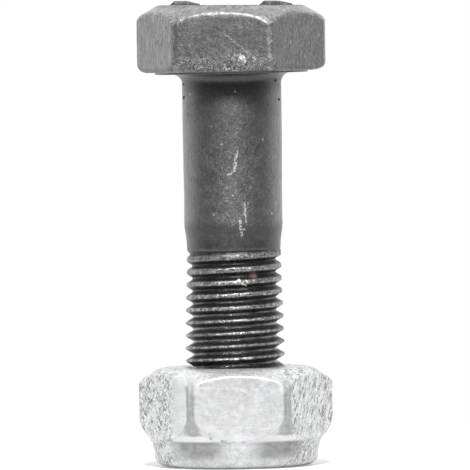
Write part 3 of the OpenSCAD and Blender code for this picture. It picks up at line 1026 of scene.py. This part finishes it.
def nut_corners(p, corner, bevel, mottle):
    """Painted dark reflections on the nut's corner ridges, with lighter stripes, and on its drawn-in foot, a
    painted light strip of floor reflection, the collar's painted reflections, a painted highlight on the
    edges and painted shade on the corners' tips. Returns the tips.
    """
    on_side = p.times(p.remap(bevel, 0.5, 0), p.remap(p.z, 3.1, 3.4))
    uneven = p.plus(p.times(mottle, 0.8), 0.15)
    stripe = p.times(p.remap(corner, 0.955, 0.975), p.remap(p.z, 4.2, 6.4), uneven)
    ridge = p.times(p.remap(corner, 0.885, 0.94), on_side, p.minus(1, stripe))
    foot = p.times(p.remap(p.mark("side"), 0.1, 0.5), p.remap(corner, 0.72, 0.92), p.remap(p.z, 3.2, 3.5))
    # Painted dark reflection on the corners' rounded ridges and on the drawn-in foot below them
    p.lay(0.3, p.highest(ridge, foot), p.plus(p.times(mottle, 0.25), 0.6))
    # Painted reflection of the floor: a light strip over the foot, strongest at the corners
    p.lay(1, p.band(p.z, 2.8, 3.3, 0.12), p.remap(corner, 1, 0.3, 0.5, 0.2))
    nut_collar(p, corner, mottle)
    # Painted highlight: the marked edges lightened in spots, most along the upper edge in front
    edge = p.times(p.mark("edge"), p.grain(0.2, 0.4, 0.5, 2, 0.6, 47))
    p.lay(1, edge, 0.3)
    # Painted shade: the corners' upper tips darkened over the highlight they catch
    shaded_tip = p.times(p.remap(corner, 0.78, 0.92), p.remap(p.z, 7.3, 8), p.remap(p.z, 9.3, 8.7))
    p.lay(0.4, shaded_tip, 0.35)
    return shaded_tip


def nut_collar(p, corner, mottle):
    """The collar's painted dark reflections below the corners, strongest in front, and a darker mottle."""
    collar = p.remap(p.z, 2.8, 2.6)
    uneven_reflection = p.grain(0.3, 0.7, 0.7, 3, 0.6, 49, (1.6, 1.6, 1))
    front = p.remap(p.away(p.azimuth()), 60, 48, 0.15)
    dull = p.times(p.remap(corner, 0.12, 0.7), collar, p.remap(p.z, 0.3, 1.7), front)
    # Painted reflection: dark patches on the collar below each corner, kept in the dull mask
    p.lay(0.22, dull, p.plus(p.times(uneven_reflection, 0.3), 0.6))
    p.lay(0.4, collar, mottle, 0.25)


def nut_material():
    """Bright zinc plate, cross scratched, with dull specks."""
    p = Paint("bright_zinc", NUT_METALLIC, tint=ZINC_TINT)
    hatch, light, area = nut_hatch(p)
    corner, bevel = p.mark("corner"), p.mark("bevel")
    p.colour = p.mix(p.grain(0.3, 0.7, 1.2, 3, 0.55, 2), p.shade(0.7), p.shade(0.81))
    p.lay(1, p.highest(p.times(bevel, BEVEL_BRIGHT), p.times(area, 0.4)))
    p.lay(0.22, hatch)
    p.lay(0.98, light, 0.6)
    # Painted shade: the chamfer's corner points darkened over the highlight they catch
    p.lay(0.3, bevel, p.remap(corner, 0.9, 0.95), p.remap(p.z, 8.9, 8.3), 0.8)
    p.lay(0.5, p.scratches(3, 0.5, 4, 3, 0.02), 0.35)
    p.lay(0.35, p.grain(0.6, 0.68, 0.22, 3, 0.7, 9), 0.5)
    shaded_tip = nut_corners(p, corner, bevel, p.grain(0.35, 0.65, 0.45, 3, 0.65, 45))
    p.lay(0.25, p.strokes(NUT_SCUFFS, 0.12, 0.5), 0.6)
    # Painted shade in the creases: under the hexagon and along the foot of the sides
    p.lay(0.15, p.mark("deep"), 0.8)
    p.lay(0.95, p.strokes(NUT_SCRATCHES, 0.1, 0.2), 0.4)
    p.use("Base Color", p.colour)
    rough = p.remap(p.noise(0.4, 2, 0.6, 13), 0.3, 0.7, 0.32, 0.44)
    p.use("Roughness", p.plus(rough, p.times(p.mark("edge"), 0.15), p.times(shaded_tip, 0.35)))
    p.bump((p.noise(0.12, 3, 0.6, 17), 0.008), (p.noise(0.7, 2, 0.5, 19), 0.03),
           (p.times(hatch, -1), 0.012))
    return p.material


def ring_material():
    """Natural nylon."""
    p = Paint("natural_nylon", 0, ior=NYLON_IOR)
    p.use("Base Color", p.mix(p.noise(1, 2, 0.5), (0.8, 0.79, 0.74, 1), (0.88, 0.87, 0.83, 1)))
    p.use("Roughness", p.remap(p.noise(0.3, 2, 0.5, 4), 0.3, 0.7, 0.4, 0.5))
    p.bump((p.noise(0.2, 2, 0.5, 6), 0.01))
    return p.material


# Stage, light and camera

def make_world():
    """White round the back, sides and top and darker towards the camera. The camera sees it white, and
    so do metal and glass where it lies behind the object."""
    world = bpy.data.worlds.new("studio")
    bpy.context.scene.world = world
    world.use_nodes = True
    world.node_tree.nodes.clear()
    w = Nodes(world.node_tree)
    place = w.new("SeparateXYZ", w.new("TexCoord").outputs["Generated"]).outputs
    up = w.times(w.highest(place["Z"], 0.0), WORLD_TOP_SHARE)
    share = w.times(w.plus(place["Y"], up, 1.0), 0.5)
    ramp = w.new("ValToRGB", share)
    ramp.color_ramp.interpolation = "EASE"
    elements = ramp.color_ramp.elements
    while len(elements) < len(WORLD_STOPS):
        elements.new(0.5)
    for element, (position, value) in zip(elements, WORLD_STOPS):
        element.position = position
        element.color = grey(value)
    rays = w.new("LightPath").outputs
    indirect = w.highest(rays["Is Glossy Ray"], rays["Is Transmission Ray"])
    behind = w.math("MULTIPLY", w.minus(share, BACKDROP_START), 1 / BACKDROP_SOFT, clamp=True)
    seen = w.highest(rays["Is Camera Ray"], w.times(indirect, behind))
    room, white = w.new("Background", ramp.outputs[0]), w.new("Background", grey(1.0))
    w.new("OutputWorld", w.new("MixShader", seen, room.outputs[0], white.outputs[0]).outputs[0])


def make_floor():
    """A plain pale floor that shows white and keeps the object's shadow."""
    bpy.ops.mesh.primitive_circle_add(vertices=96, radius=FLOOR_R, fill_type="NGON", location=(0, 0, FLOOR_Z))
    floor = bpy.context.active_object
    floor.name = "floor"
    material = bpy.data.materials.new("pale_floor")
    material.use_nodes = True
    f = Nodes(material.node_tree)
    rays = f.new("LightPath").outputs
    seen = f.times(f.highest(rays["Is Camera Ray"], rays["Is Transmission Ray"]), FLOOR_GLOW)
    glow = f.plus(seen, f.times(rays["Is Glossy Ray"], FLOOR_GLOSSY_GLOW))
    shader = f.tree.nodes["Principled BSDF"]
    for name, value in (("Base Color", grey(FLOOR_BASE)), ("Roughness", 0.9), ("Specular IOR Level", 0.0),
                        ("Emission Color", grey(1.0)), ("Emission Strength", glow)):
        f.set(shader.inputs[name], value)
    floor.data.materials.append(material)


def look(place, aim):
    """The transform that stands something at a place and turns it to look at a point."""
    turn = (Vector(aim) - Vector(place)).to_track_quat("-Z", "Y")
    return Matrix.Translation(place) @ turn.to_matrix().to_4x4()


def make_lamp():
    """The round lamp above the camera."""
    data = bpy.data.lights.new("key", "AREA")
    data.shape = "DISK"
    data.size = KEY_SIZE
    data.energy = KEY_POWER
    add_object("key", data).matrix_world = look(KEY_PLACE, KEY_AIM)


def make_camera():
    """A long lens from nearly a metre away, a little above the object and turned slightly about its axis."""
    data = bpy.data.cameras.new("camera")
    camera = add_object("camera", data)
    roll = Matrix.Rotation(math.radians(CAMERA_ROLL_DEG), 4, "Z")
    camera.matrix_world = look(CAMERA_PLACE, CAMERA_AIM) @ roll
    distance = (Vector(CAMERA_AIM) - Vector(CAMERA_PLACE)).length
    data.sensor_width = SENSOR_WIDTH_MM
    data.lens = SENSOR_WIDTH_MM * distance / FRAME_WIDTH
    data.clip_end = 20.0
    bpy.context.scene.camera = camera


def dress(piece, material, body, node):
    """Gives a piece its material in a new slot, ties it to its body and hides the CAD node that it stands in
    for.
    """
    piece.data.materials.append(material)
    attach(piece, body)
    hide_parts(node)


make_camera()
make_world()
make_floor()
make_lamp()
bpy.context.scene.view_settings.view_transform = "Standard"
dress(make_bolt(), bolt_material(), "bolt", "bolt")
dress(make_nut(), nut_material(), "nut", "lock_nut")
dress(make_ring(), ring_material(), "insert", "nylon_insert")
